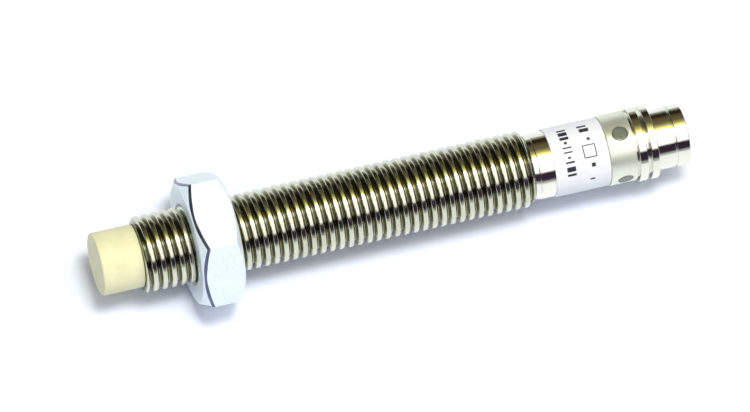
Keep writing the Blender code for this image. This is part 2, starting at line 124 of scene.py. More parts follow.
# Label
LABEL_START = 48.65
LABEL_END = 54.55
LABEL_INSIDE = 3.51
LABEL_OUTSIDE = 3.58
LABEL_ROUNDING, LABEL_STEPS = 0.025, 3
LABEL_LAP = 0.035
LABEL_SEAM = math.radians(-72)
LAP_START = 0.985  # share of a turn after which the film drops back to its start
SEAM_COLUMNS = (0.9855, 0.99, 0.995, 0.9995)
MARK_SINK, MARK_LIFT = -0.01, 0.005  # printed marks reach from just under the film's surface to just over it
MARK_STEP = 0.06  # radians between the rows of a mark

# Rear housing
HOUSING_SIDES = 160
WINDOWS = 4
WINDOW_SIDES = 48
WINDOW_STATION = 56.15
WINDOW_RADIUS = 0.82
WINDOW_SURFACE = 3.7
WINDOW_CHAMFER = 0.09
WINDOW_DEEP, WINDOW_OUT = 2.0, 4.4  # radii between which a window is cut
BRIGHT_START = 57.5
# Section of the housing as (station, radius, rounding): tail under the barrel, seat of the label, window section,
# two collars with a groove between, nose with its fine groove, mouth and bore
HOUSING = (
    (47.6, 3.1), (51.65, 3.1, 0.02), (51.65, 3.5), (54.6, 3.5), (54.6, 3.7, 0.11), (57.45, 3.7, 0.08),
    (57.45, 3.45, 0.02), (57.65, 3.45, 0.02), (57.65, 3.95, 0.09), (58.55, 3.95, 0.09), (58.55, 3.3, 0.03),
    (58.95, 3.3, 0.03), (58.95, 3.95, 0.09), (59.75, 3.95, 0.09), (59.75, 3.25, 0.04), (61.73, 3.25, 0.03),
    (61.76, 3.12, 0.02), (61.90, 3.12, 0.02), (61.93, 3.25, 0.03), (63.3, 3.25, 0.12), (63.3, 2.83, 0.05),
    (63.22, 2.75, 0.02), (47.6, 2.75),
)

# Light guide
GUIDE = (54.95, 57.4, 2.45, 2.68)  # start, end, inside radius, outside radius
GUIDE_ROUNDING = 0.05
LENS_RADIUS = 0.79
LENS_FOOT = 2.55
LENS_TOP = 3.62
# Rim of a lens as (depth under its top, inset from its radius)
LENS_EDGE = ((0.09, 0.0), (0.04, 0.035), (0.01, 0.14))
LENS_FLAT = 0.45
LENS_CROWN = 0.005

# Plug insert and pins
INSERT = (57.6, 60.1)
INSERT_RADIUS = 2.68
# Face of the insert as (depth, radius, rounding), from its rim to the floor of its shallow recess
INSERT_RIM = ((0.0, INSERT_RADIUS, 0.08), (0.0, 2.35, 0.05), (0.18, 2.2, 0.05), (0.18, 0.0))
KEY_SECTION = ((59.5, 2.19), (59.5, 2.62), (62.5, 2.62, 0.12), (62.5, 2.19, 0.12))
KEY_HALF = 0.3
KEY_EDGE = 0.05
KEY_FOOT = 2.4  # the rib's rounded sides narrow only nearer the axis than this
PIN_PLACES = ((1.4, -0.75), (-1.4, -0.75), (0.0, 1.45))
PIN_RADIUS = 0.5
PIN_TAIL_RADIUS = 0.3
PIN_SHOULDER = 0.4
PIN_SIDES = 40
PIN_DOME_STEPS = 10
# Collar round a pin as (depth under the insert's end, gap from the pin)
PIN_COLLAR = ((0.3, 0.01), (0.3, 0.22), (0.08, 0.16), (0.08, 0.01))

# Camera: it looks down on the sensor from its side, turned a little towards the cap
VIEW_PITCH = math.radians(68.0)
VIEW_YAW = math.radians(11.0)
VIEW_ROLL = math.radians(12.65)
VIEW_DISTANCE = 1600.0
VIEW_AIM = (32.0, 0.0, 0.0)
VIEW_OFFSET = (1.88, 0.83)
LENS = 742.7
SENSOR_WIDTH = 36.0
NEAR_CLIP, FAR_CLIP = 0.05, 20.0

# Floor and light, in metres
FLOOR_HALF = 6.0
FLOOR_GAP = 0.005  # millimetres between the nut's lowest flat and the floor
KEY_PLACE = (0.03, -0.07, 0.55)
KEY_AIM = (0.03, 0.0, 0.0)
KEY_SIZE = 0.12
KEY_POWER = 1.85
KEY_COLOUR = (1.0, 0.98, 0.94)


# ---------------------------------------------------------------- mesh tools

def place(mesh_points):
    return [(x * MM, y * MM, z * MM) for x, y, z in mesh_points]


def finish_mesh(name, points, faces, material, sharp=SHARP_ANGLE):
    mesh = bpy.data.meshes.new(name)
    mesh.from_pydata(place(points), [], faces)
    work = bmesh.new()
    work.from_mesh(mesh)
    bmesh.ops.remove_doubles(work, verts=work.verts, dist=WELD)
    bmesh.ops.dissolve_degenerate(work, dist=SLIVER, edges=work.edges)
    bmesh.ops.recalc_face_normals(work, faces=work.faces)
    work.to_mesh(mesh)
    work.free()
    mesh.shade_smooth()
    mesh.set_sharp_from_angle(angle=math.radians(sharp))
    mesh.materials.append(material)
    piece = bpy.data.objects.new(name, mesh)
    bpy.context.scene.collection.objects.link(piece)
    return piece


def softened(outline, radius=EDGE, steps=EDGE_STEPS, closed=True, hold=HOLD):
    """The outline with each corner rounded, and with a holding point on each side of the rounding."""
    count = len(outline)
    result = []
    for i, point in enumerate(outline):
        corner = Vector(point[:2])
        if not closed and i in (0, count - 1):
            result.append(tuple(corner))
            continue
        before = Vector(outline[i - 1][:2]) - corner
        after = Vector(outline[(i + 1) % count][:2]) - corner
        reach = point[2] if len(point) > 2 else radius
        reach = min(reach, MOST_REACH * before.length, MOST_REACH * after.length)
        room = min(hold, MOST_HOLD * before.length, MOST_HOLD * after.length)
        first = corner + before.normalized() * reach
        last = corner + after.normalized() * reach
        result.append(tuple(first + before.normalized() * room))
        for k in range(steps + 1):
            t = k / steps
            result.append(tuple((1 - t) ** 2 * first + 2 * t * (1 - t) * corner + t ** 2 * last))
        result.append(tuple(last + after.normalized() * room))
    return result


def skin(name, columns, material, closed=True, sharp=SHARP_ANGLE):
    """A surface through columns of (x, y, z) points that stand round the axis. A closed column is a ring section."""
    rows = len(columns[0])
    points = [point for column in columns for point in column]
    faces = []
    for j in range(len(columns)):
        here, there = j * rows, (j + 1) % len(columns) * rows
        for i in range(rows if closed else rows - 1):
            k = (i + 1) % rows
            faces.append((here + i, here + k, there + k, there + i))
    return finish_mesh(name, points, faces, material, sharp)


def column_at(angle, outline):
    return [(x, r * math.cos(angle), r * math.sin(angle)) for x, r in outline]


def lathe(name, outline, material, sides=SIDES, closed=True, sharp=SHARP_ANGLE):
    angles = [math.tau * j / sides for j in range(sides)]
    return skin(name, [column_at(a, outline) for a in angles], material, closed, sharp)


def moved(piece, offset=(0, 0, 0), turn=None):
    """Moves the piece's points by an offset in millimetres, after a turn given as a matrix."""
    matrix = Matrix.Translation(Vector(offset) * MM) @ (turn.to_4x4() if turn else Matrix())
    piece.data.transform(matrix)
    return piece


def joined(piece, others):
    """The piece with the others' meshes added to its own."""
    work = bmesh.new()
    work.from_mesh(piece.data)
    for other in others:
        work.from_mesh(other.data)
        bpy.data.objects.remove(other)
    work.to_mesh(piece.data)
    work.free()
    return piece


def carved(piece, cutter, operation="DIFFERENCE", sharp=SHARP_ANGLE):
    """Applies an exact Boolean and removes the cutter."""
    modifier = piece.modifiers.new("cut", "BOOLEAN")
    modifier.operation = operation
    modifier.solver = "EXACT"
    modifier.object = cutter
    graph = bpy.context.evaluated_depsgraph_get()
    mesh = bpy.data.meshes.new_from_object(piece.evaluated_get(graph))
    piece.modifiers.clear()
    piece.data = mesh
    bpy.data.objects.remove(cutter)
    mesh.shade_smooth()
    mesh.set_sharp_from_angle(angle=math.radians(sharp))
    return piece


def fitted(piece, body, slot, *nodes):
    """The piece rides on its body and stands for the nodes, which it hides. The slot is not used."""
    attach(piece, body)
    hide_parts(*nodes)
    return piece


# ---------------------------------------------------------------- material tools

class Surface:
    """A procedural material: short ways to make the nodes that feed its Principled shader."""

    def __init__(self, name, **constants):
        self.material = bpy.data.materials.new(name)
        self.material.use_nodes = True
        self.nodes = self.material.node_tree.nodes
        self.links = self.material.node_tree.links
        self.shader = self.nodes["Principled BSDF"]
        for socket, value in constants.items():
            self.shader.inputs[socket.replace("_", " ")].default_value = value
        self.place = self.nodes.new("ShaderNodeTexCoord").outputs["Object"]

    def node(self, kind, settings=None, **inputs):
        made = self.nodes.new("ShaderNode" + kind)
        for key, value in (settings or {}).items():
            setattr(made, key, value)
        for key, value in inputs.items():
            socket = made.inputs[int(key[1:])] if key[0] == "i" and key[1:].isdigit() else made.inputs[key]
            if isinstance(value, bpy.types.NodeSocket):
                self.links.new(value, socket)
            else:
                socket.default_value = value
        return made

    def stretched(self, scale):
        """Object coordinates in millimetres, each axis multiplied by its scale."""
        return self.node("Mapping", Vector=self.place, Scale=[s / MM for s in scale]).outputs[0]

    def wrapped(self, along, around):
        """Coordinates along the axis and round it, in millimetres, each multiplied by its scale."""
        split = self.node("SeparateXYZ", i0=self.place).outputs
        angle = self.node("Math", {"operation": "ARCTAN2"}, i0=split[2], i1=split[1]).outputs[0]
        x = self.node("Math", {"operation": "MULTIPLY"}, i0=split[0], i1=along / MM).outputs[0]
        wave = self.node("Math", {"operation": "SINE"}, i0=angle).outputs[0]
        ring = self.node("Math", {"operation": "COSINE"}, i0=angle).outputs[0]
        y = self.node("Math", {"operation": "MULTIPLY"}, i0=wave, i1=4 * around).outputs[0]
        z = self.node("Math", {"operation": "MULTIPLY"}, i0=ring, i1=4 * around).outputs[0]
        return self.node("CombineXYZ", X=x, Y=y, Z=z).outputs[0]

    def radius(self):
        """Distance from the axis, in millimetres."""
        flat = self.node("VectorMath", {"operation": "MULTIPLY"}, i0=self.place, i1=(0, 1 / MM, 1 / MM)).outputs[0]
        return self.node("VectorMath", {"operation": "LENGTH"}, i0=flat).outputs["Value"]

    def noise(self, vector, scale=1.0, detail=4.0, rough=0.55):
        return self.node("TexNoise", Vector=vector, Scale=scale, Detail=detail, Roughness=rough).outputs[0]

    def ramp(self, value, stops):
        made = self.node("ValToRGB", i0=value)
        elements = made.color_ramp.elements
        for k, (at, colour) in enumerate(stops):
            element = elements[k] if k < 2 else elements.new(at)
            element.position = at
            element.color = (*colour, 1.0)
        return made.outputs[0]

    def grey(self, value, low, high, start=0.3, end=0.7):
        """The value spread from low to high over its range from start to end."""
        made = self.node("MapRange", Value=value)
        made.inputs["From Min"].default_value = start
        made.inputs["From Max"].default_value = end
        made.inputs["To Min"].default_value = low
        made.inputs["To Max"].default_value = high
        return made.outputs[0]

    def mix(self, amount, first, second, blend="MIX"):
        made = self.nodes.new("ShaderNodeMix")
        made.data_type = "RGBA"
        made.blend_type = blend
        for socket, value in ((0, amount), (6, first), (7, second)):
            if isinstance(value, bpy.types.NodeSocket):
                self.links.new(value, made.inputs[socket])
            else:
                made.inputs[socket].default_value = value if socket == 0 else (*value, 1.0)
        return made.outputs[2]

    def bump(self, *layers):
        """Bump from (height, distance in millimetres, strength) layers, laid one on another."""
        normal = None
        for height, distance, strength in layers:
            made = self.node("Bump", Height=height, Distance=distance * MM, Strength=strength)
            if normal:
                self.links.new(normal, made.inputs["Normal"])
            normal = made.outputs[0]
        self.links.new(normal, self.shader.inputs["Normal"])

    def flecked(self, colour, fleck, amount, density, size):
        """The colour with small specks, each up to size across in cells of one over density millimetres."""
        speck = self.node("TexVoronoi", Vector=self.stretched((density,) * 3), Scale=1.0).outputs[0]
        return self.mix(self.grey(speck, amount, 0.0, 0.25 * size, size), colour, fleck)

    def set(self, socket, value):
        self.links.new(value, self.shader.inputs[socket])


def plated(name, light, dark, rough, wear, grain, turning=0.25, metallic=1.0, painted_groove_shade=None,
           fleck=None):
    """Plated metal: turning marks round the axis, fine scratches and slow cloudiness.

    The groove shade is (lowest radius, highest radius, colour multiplied in at the lowest): painted shade that darkens
    the metal towards its grooves.
    Flecks are small specks of another colour.
    """
    s = Surface(name, Metallic=metallic)
    cloud = s.noise(s.stretched((0.35, 0.35, 0.35)), detail=5.0)
    marks = s.noise(s.wrapped(28.0, 0.12), detail=3.0)
    grit = s.noise(s.stretched((grain, grain, grain)), detail=6.0, rough=0.7)
    colour = s.ramp(s.mix(0.45, cloud, grit), ((0.3, dark), (0.62, light)))
    # Painted shade: the colour grows darker towards the roots of the thread
    if painted_groove_shade:
        colour = s.mix(s.grey(s.radius(), 1.0, 0.0, painted_groove_shade[0], painted_groove_shade[1]), colour, painted_groove_shade[2], "MULTIPLY")
    if fleck:
        colour = s.flecked(colour, fleck, 0.45, 3.2, 0.22)
    s.set("Base Color", colour)
    s.set("Roughness", s.grey(s.mix(0.5, cloud, marks), rough[0], rough[1]))
    s.bump((marks, 0.01, turning), (grit, 0.006, wear))
    return s.material


def moulded(name, light, dark, rough, grain=9.0, depth=0.15, fleck=None, **constants):
    """Moulded or cast plastic: slow shade changes, fine grain and small specks."""
    s = Surface(name, **constants)
    cloud = s.noise(s.stretched((0.5, 0.5, 0.5)), detail=4.0)
    fine = s.noise(s.stretched((grain, grain, grain)), detail=5.0, rough=0.65)
    colour = s.ramp(s.mix(0.3, cloud, fine), ((0.32, dark), (0.66, light)))
    if fleck:
        colour = s.flecked(colour, fleck, 0.8, 6.0, 0.12)
    s.set("Base Color", colour)
    s.set("Roughness", s.grey(s.mix(0.5, cloud, fine), rough[0], rough[1]))
    s.bump((cloud, 0.04, depth), (fine, 0.008, 0.6 * depth))
    return s.material


# ---------------------------------------------------------------- materials

# The thread's roots are darkened: painted shade in its grooves
thread_nickel = plated("thread_nickel", (0.66, 0.67, 0.53), (0.50, 0.50, 0.38), (0.10, 0.19), 0.18, 14.0,
                       painted_groove_shade=(3.45, 3.9, (0.40, 0.38, 0.32)))
bright_nickel = plated("bright_nickel", (0.84, 0.84, 0.73), (0.70, 0.69, 0.58), (0.06, 0.13), 0.12, 16.0, 0.14)
satin_nickel = plated("satin_nickel", (0.82, 0.85, 0.72), (0.69, 0.73, 0.58), (0.36, 0.46), 0.35, 20.0, 0.30, 0.75)
nut_plating = plated("nut_plating", (0.85, 0.93, 0.96), (0.75, 0.85, 0.89), (0.36, 0.48), 0.45, 9.0, 0.0, 0.34,
                     fleck=(0.30, 0.33, 0.38))
# Dark navy for the nut's front chamfer: a painted reflection, not the plating's own colour
nut_edge_painted_reflection = plated("nut_edge_painted_reflection", (0.16, 0.17, 0.27), (0.08, 0.09, 0.17), (0.22, 0.32), 0.30, 9.0, 0.3, 0.9)
ivory = moulded("ivory_plastic", (0.74, 0.73, 0.47), (0.65, 0.63, 0.36), (0.42, 0.56))
black_plastic = moulded("insert_plastic", (0.035, 0.035, 0.037), (0.018, 0.018, 0.02), (0.38, 0.55), 12.0, 0.3)
gold = plated("gold_plating", (0.93, 0.72, 0.33), (0.80, 0.58, 0.24), (0.12, 0.24), 0.15, 12.0)


def label_film():
    s = Surface("label_film")
    cloud = s.noise(s.stretched((0.6, 0.6, 0.6)), detail=4.0)
    fibre = s.noise(s.wrapped(7.0, 2.0), detail=6.0, rough=0.7)
    s.set("Base Color", s.ramp(s.mix(0.4, cloud, fibre), ((0.3, (0.69, 0.72, 0.75)), (0.7, (0.77, 0.79, 0.81)))))
    s.set("Roughness", s.grey(fibre, 0.34, 0.48))
    s.bump((cloud, 0.03, 0.2), (fibre, 0.005, 0.25))
    return s.material


def ink():
    s = Surface("label_ink")
    worn = s.noise(s.stretched((5.0, 5.0, 5.0)), detail=6.0, rough=0.7)
    s.set("Base Color", s.ramp(worn, ((0.4, (0.012, 0.010, 0.02)), (0.8, (0.05, 0.045, 0.08)))))
    s.set("Roughness", s.grey(worn, 0.4, 0.6))
    s.bump((worn, 0.003, 0.3))
    return s.material


def clear_plastic():
    s = Surface("clear_polycarbonate", Transmission_Weight=0.55, IOR=1.58)
    cloud = s.noise(s.stretched((1.2, 1.2, 1.2)), detail=4.0)
    fine = s.noise(s.stretched((8.0, 8.0, 8.0)), detail=5.0)
    s.set("Base Color", s.ramp(cloud, ((0.3, (0.20, 0.24, 0.17)), (0.7, (0.30, 0.34, 0.26)))))
    s.set("Roughness", s.grey(fine, 0.12, 0.24))
    s.bump((cloud, 0.02, 0.2), (fine, 0.004, 0.3))
    return s.material


def board_laminate():
    s = Surface("board_laminate")
    weave = s.node("TexWave", {"wave_type": "BANDS", "bands_direction": "X"}, Vector=s.stretched((1.0, 1.0, 1.0)),
                   Scale=5.0, Distortion=0.6, Detail=2.0).outputs[0]
    cross = s.node("TexWave", {"wave_type": "BANDS", "bands_direction": "Y"}, Vector=s.stretched((1.0, 1.0, 1.0)),
                   Scale=5.0, Distortion=0.6, Detail=2.0).outputs[0]
    cloud = s.noise(s.stretched((0.8, 0.8, 0.8)))
    cloth = s.mix(0.5, weave, cross)
    s.set("Base Color", s.ramp(s.mix(0.5, cloth, cloud), ((0.25, (0.02, 0.11, 0.05)), (0.75, (0.05, 0.20, 0.09)))))
    s.set("Roughness", s.grey(cloud, 0.28, 0.42))
    s.bump((cloth, 0.01, 0.3))
    return s.material


def enamelled_wire():
    s = Surface("enamelled_copper", Metallic=0.85)
    turns = s.node("TexWave", {"wave_type": "BANDS", "bands_direction": "X"}, Vector=s.stretched((1.0, 1.0, 1.0)),
                   Scale=2.6, Distortion=0.25).outputs[0]
    cloud = s.noise(s.stretched((1.5, 1.5, 1.5)))
    s.set("Base Color", s.ramp(s.mix(0.4, turns, cloud), ((0.2, (0.30, 0.10, 0.03)), (0.8, (0.72, 0.33, 0.13)))))
    s.set("Roughness", s.grey(cloud, 0.22, 0.38))
    s.bump((turns, 0.03, 0.6))
    return s.material


film = label_film()
print_ink = ink()
clear = clear_plastic()

INNER = {
    "ferrite_core": ("ferrite", moulded("ferrite", (0.09, 0.085, 0.085), (0.05, 0.047, 0.047), (0.55, 0.8), 14.0, 0.5)),
    "coil_bobbin": ("bobbin_plastic", moulded("bobbin_plastic", (0.55, 0.52, 0.45), (0.45, 0.42, 0.36), (0.4, 0.55))),
    "coil_winding": ("enamelled_copper", enamelled_wire()),
    "circuit_board": ("board_laminate", board_laminate()),
    "chip": ("chip_epoxy", moulded("chip_epoxy", (0.04, 0.04, 0.042), (0.022, 0.022, 0.024), (0.45, 0.65), 16.0, 0.4)),
    "capacitor": ("ceramic_chip", moulded("ceramic_chip", (0.45, 0.31, 0.18), (0.36, 0.24, 0.13), (0.4, 0.55), 12.0)),
    "resistor": ("resistor_chip", moulded("resistor_chip", (0.03, 0.03, 0.04), (0.015, 0.015, 0.02), (0.3, 0.5), 12.0)),
    "indicator_led": ("led_resin", moulded("led_resin", (0.70, 0.62, 0.30), (0.58, 0.50, 0.22), (0.15, 0.3), 8.0)),
    "resin": ("casting_resin", moulded("casting_resin", (0.12, 0.09, 0.05), (0.07, 0.05, 0.03), (0.2, 0.4), 7.0, 0.3,
                                       (0.20, 0.16, 0.10))),
}
NAMED_BY = {
    "coil_lead": "coil_winding", "oscillator_chip": "chip", "output_transistor": "chip", "voltage_regulator": "chip",
    "protection_diode": "chip", "front_resin": "resin", "rear_resin": "resin",
}


def dress_inner_nodes():
    """Gives each CAD node that stays as it is its procedural finish."""
    for name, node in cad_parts.items():
        if node.hide_render:
            continue
        stem = next((value for key, value in NAMED_BY.items() if name.startswith(key)), name)
        found = [finish for key, finish in INNER.items() if stem.startswith(key)]
        if not found:
            raise RuntimeError(f"{name} has no finish")
        for place in node.material_slots:
            place.link = "OBJECT"
            place.material = found[0][1]


# ---------------------------------------------------------------- pieces

def sensing_cap():
    outline = softened(
        [
            (0.0, 0.0), (0.0, CAP_RADIUS, CAP_BEVEL), (CAP_END, CAP_RADIUS, CAP_REAR_EDGE),
            (CAP_END, SKIRT_RADIUS), (SKIRT_END, SKIRT_RADIUS), (SKIRT_END, CAP_BORE), (CAP_WALL, CAP_BORE),
            (CAP_WALL, 0.0),
        ],
        closed=False, steps=CAP_EDGE_STEPS,
    )
    return lathe("sensing_cap_fine", outline, ivory, closed=False)


def thread_profile():
    """(share of the pitch, radius) points of one ridge, from the middle of one root to the next."""
    rise = [(at * PITCH, ROOT + (CREST - ROOT) * height) for at, height in RIDGE]
    return rise + [(PITCH - at, radius) for at, radius in reversed(rise[1:-1])]


PROFILE = thread_profile()


def thread_radius(station, angle):
    """Radius of the barrel's threaded stretch, with its chamfer in front and its run-out behind."""
    at = ((station - THREAD_START) / PITCH - angle / math.tau) % 1.0 * PITCH
    radius = ROOT
    for (a, low), (b, high) in zip(PROFILE, PROFILE[1:] + [(PITCH, ROOT)]):
        if a <= at <= b:
            radius = low + (high - low) * (at - a) / (b - a)
            break
    front = CREST - FRONT_CHAMFER + (station - THREAD_START)
    fade = min(max((station - RUNOUT_START) / (THREAD_END - RUNOUT_START), 0.0), 1.0)
    fade = fade * fade * (3 - 2 * fade)
    return min(radius + (RELIEF_RADIUS - radius) * fade, front)


def threaded_barrel():
    """The barrel as one skin: its thread follows the helix, and its last column meets the first one turn further on."""
    rows = len(PROFILE)
    turns = math.ceil((THREAD_END - THREAD_START) / PITCH)
    steps = range(-rows, turns * rows + 1)
    offsets = [at for at, _ in PROFILE]
    bore = softened(
        [(THREAD_START, BARREL_BORE), (SOCKET_START, BARREL_BORE), (SOCKET_START, SOCKET_RADIUS),
         (BARREL_END, SOCKET_RADIUS), (BARREL_END, NECK_RADIUS), (RELIEF_END, NECK_RADIUS),
         (RELIEF_END - RELIEF_STEP, RELIEF_RADIUS), (THREAD_END, RELIEF_RADIUS)], closed=False)
    bore.reverse()
    points, faces, width = [], [], len(steps) + len(bore)
    for j in range(THREAD_SIDES):
        angle = math.tau * j / THREAD_SIDES
        for i in steps:
            station = THREAD_START + (i // rows + angle / math.tau) * PITCH + offsets[i % rows]
            if station < THREAD_START + SNAP:
                station = THREAD_START
            if station > THREAD_END - SNAP:
                station = THREAD_END
            radius = thread_radius(station, angle)
            points.append((station, radius * math.cos(angle), radius * math.sin(angle)))
        points += column_at(angle, bore)
    for j in range(THREAD_SIDES):
        last = j == THREAD_SIDES - 1
        here, there = j * width, (j + 1) % THREAD_SIDES * width
        for i in range(width):
            k = (i + 1) % width
            threaded = i < len(steps) - 1
            shift = rows if last and threaded else 0
            if last and threaded and i + rows >= len(steps) - 1:
                continue
            faces.append((here + i, here + k, there + k + shift, there + i + shift))
    barrel = finish_mesh("threaded_barrel_fine", points, faces, thread_nickel, THREAD_SHARP_ANGLE)
    barrel.data.materials.append(bright_nickel)
    for face in barrel.data.polygons:
        face.material_index = int(face.center.x > THREAD_END * MM)
    return barrel


def hex_radius(angle):
    """Distance from the axis to the hexagon's side at this angle from a corner, with the corner rounded."""
    half = 0.5 * NUT_FLATS
    centre = (half - NUT_CORNER) / math.cos(math.pi / 6)
    rounding = math.atan2(0.5 * NUT_CORNER, centre + NUT_CORNER * math.cos(math.pi / 6))
    if abs(angle) < rounding:
        return centre * math.cos(angle) + math.sqrt(NUT_CORNER ** 2 - (centre * math.sin(angle)) ** 2)
    return half / math.cos(math.pi / 6 - abs(angle))


def lock_nut():
    """The hexagon, chamfered on both faces and countersunk, with a lip at each end of its bore."""
    slope = math.tan(NUT_CHAMFER)
    half_sector = [*CORNER_COLUMNS]
    half_sector += [CORNER_COLUMNS[-1] + FLAT_COLUMN_STEP * k for k in range(1, FLAT_COLUMNS + 1)]
    sector = sorted({-a for a in half_sector} | set(half_sector))[:-1]
    columns = []
    for corner in range(6):
        for degrees in sector:
            radius = hex_radius(math.radians(degrees))
            depth = (radius - NUT_FACE_RADIUS) * slope
            outline = softened([
                (NUT_FRONT, COUNTERSINK), (NUT_FRONT, NUT_FACE_RADIUS), (NUT_FRONT + depth, radius, FRONT_EDGE),
                (NUT_BACK - depth, radius, BACK_EDGE), (NUT_BACK, NUT_FACE_RADIUS), (NUT_BACK, COUNTERSINK),
                (NUT_BACK - NUT_LIP + NUT_LIP_EDGE, LINING_BORE), (NUT_BACK - NUT_LIP, LINING_BORE),
                (NUT_BACK - NUT_LIP, NUT_BORE), (NUT_FRONT + NUT_LIP, NUT_BORE),
                (NUT_FRONT + NUT_LIP, LINING_BORE), (NUT_FRONT + NUT_LIP - NUT_LIP_EDGE, LINING_BORE),
            ], radius=NUT_ROUNDING)
            columns.append(column_at(math.radians(degrees + 60 * corner), outline))
    nut = skin("lock_nut_fine", columns, nut_plating)
    nut.data.materials.append(nut_edge_painted_reflection)
    # Faces of the front chamfer within the tilt range get the dark material: a painted reflection
    for face in nut.data.polygons:
        outward = Vector((0, face.center.y, face.center.z)).length
        tilt = -face.normal.x
        face.material_index = int(outward > NUT_FACE_RADIUS * MM and PAINTED_REFLECTION_TILT[0] < tilt < PAINTED_REFLECTION_TILT[1])
    return nut


def nut_lining():
    start, end = NUT_FRONT + LINING_SINK, NUT_BACK - LINING_SINK
    teeth = [(start, LINING_BORE + LINING_MOUTH)]
    x = start + LINING_LEAD
    while x < end - LINING_LEAD:
        teeth += [(x, LINING_BORE), (x + 0.5 * PITCH, LINING_BORE + LINING_TOOTH)]
        x += PITCH
    teeth += [(end, LINING_BORE + LINING_MOUTH), (end, LINING_OUTSIDE), (start, LINING_OUTSIDE)]
    return lathe("nut_lining_fine", softened(teeth, LINING_ROUNDING, LINING_STEPS), nut_plating)


def label_radius(angle):
    """Outside of the wrapped film, which rises over one turn to its lap."""
    turn = (angle - LABEL_SEAM) / math.tau % 1.0
    return LABEL_OUTSIDE + LABEL_LAP * (turn if turn < LAP_START else (1.0 - turn) / (1.0 - LAP_START))


def label():
    columns = []
    seam = [LABEL_SEAM + math.tau * t for t in SEAM_COLUMNS]
    angles = sorted({(math.tau * j / SIDES) % math.tau for j in range(SIDES)} | {a % math.tau for a in seam})
    for angle in angles:
        outside = label_radius(angle)
        outline = softened([(LABEL_START, LABEL_INSIDE), (LABEL_START, outside), (LABEL_END, outside),
                            (LABEL_END, LABEL_INSIDE)], LABEL_ROUNDING, LABEL_STEPS)
        columns.append(column_at(angle, outline))
    return skin("label_sleeve_fine", columns, film)


# Printed marks, plain bars and squares: (station, angle in degrees, length along the axis, width round it).
# The frame mark has its line's width too.
BARS = [
    (50.35, 57, 0.95, 0.26), (50.35, 66, 0.95, 0.52), (50.35, 76, 0.95, 0.36), (50.35, 85, 0.3, 0.3),
    (50.35, 94, 0.95, 0.16), (50.35, 102, 0.95, 0.16), (50.35, 111, 0.3, 0.22), (50.35, 119, 0.95, 0.2),
    (50.35, 131, 0.95, 0.52), (50.35, 141, 0.95, 0.26),
    (52.55, 57, 1.0, 0.28), (52.65, 67, 1.0, 0.5), (52.8, 86, 0.32, 0.3), (52.75, 131, 0.42, 0.42),
    (52.5, 157, 0.5, 0.22),
]
FRAME_MARK = (52.6, 107, 1.4, 1.4, 0.11)


def curved_box(x0, x1, a0, a1, inside, outside):
    """Points and faces of a thin plate that follows the label between two stations and two angles."""
    steps = max(2, math.ceil(abs(a1 - a0) / MARK_STEP))
    points, faces = [], []
    for k in range(steps + 1):
        angle = a0 + (a1 - a0) * k / steps
        for x, lift in ((x0, inside), (x1, inside), (x1, outside), (x0, outside)):
            r = label_radius(angle) + lift
            points.append((x, r * math.cos(angle), r * math.sin(angle)))
    for k in range(steps):
        for i in range(4):
            n = (i + 1) % 4
            faces.append((4 * k + i, 4 * k + n, 4 * k + 4 + n, 4 * k + 4 + i))
    faces += [(3, 2, 1, 0), tuple(4 * steps + i for i in range(4))]
    return points, faces


def label_marks():
    marks = [*BARS]
    x, a, length, width, line = FRAME_MARK
    reach = math.degrees(0.5 * (width - line) / LABEL_OUTSIDE)
    marks += [(x, a + reach, length, line), (x, a - reach, length, line)]
    marks += [(x + side * 0.5 * (length - line), a, line, width - 2.2 * line) for side in (-1, 1)]
    points, faces = [], []
    for x, a, length, width in marks:
        half = 0.5 * width / LABEL_OUTSIDE
        angle = math.radians(a)
        some, cells = curved_box(x - 0.5 * length, x + 0.5 * length, angle - half, angle + half, MARK_SINK, MARK_LIFT)
        faces += [tuple(i + len(points) for i in cell) for cell in cells]
        points += some
    return finish_mesh("label_marks", points, faces, print_ink)


def window_turns():
    """Turns that bring a shape made along +X to each window's own direction."""
    return [Matrix.Rotation(math.tau / WINDOWS * k, 3, "X") @ Matrix.Rotation(-math.pi / 2, 3, "Y")
            for k in range(WINDOWS)]


def rear_housing():
    shell = lathe("rear_housing", softened(HOUSING), satin_nickel, sides=HOUSING_SIDES)
    shell.data.materials.append(bright_nickel)
    hole = [
        (WINDOW_DEEP, 0.0), (WINDOW_DEEP, WINDOW_RADIUS), (WINDOW_SURFACE - WINDOW_CHAMFER, WINDOW_RADIUS),
        (WINDOW_SURFACE, WINDOW_RADIUS + WINDOW_CHAMFER), (WINDOW_OUT, WINDOW_RADIUS + WINDOW_CHAMFER),
        (WINDOW_OUT, 0.0),
    ]
    for turn in window_turns():
        cutter = lathe("cutter", hole, satin_nickel, sides=WINDOW_SIDES, closed=False)
        carved(shell, moved(cutter, (WINDOW_STATION, 0, 0), turn))
    for face in shell.data.polygons:
        face.material_index = int(face.center.x > BRIGHT_START * MM)
    return shell


def light_guide():
    start, end, inside, outside = GUIDE
    ring = lathe("light_guide_fine",
                 softened([(start, inside), (start, outside), (end, outside), (end, inside)], GUIDE_ROUNDING), clear)
    dome = [(LENS_FOOT, 0.0), (LENS_FOOT, LENS_RADIUS)]
    dome += [(LENS_TOP - depth, LENS_RADIUS - inset) for depth, inset in LENS_EDGE]
    dome += [(LENS_TOP, LENS_FLAT * LENS_RADIUS), (LENS_TOP + LENS_CROWN, 0.0)]
    for turn in window_turns():
        lens = lathe("lens", dome, clear, sides=WINDOW_SIDES, closed=False)
        carved(ring, moved(lens, (WINDOW_STATION, 0, 0), turn), "UNION")
    return ring


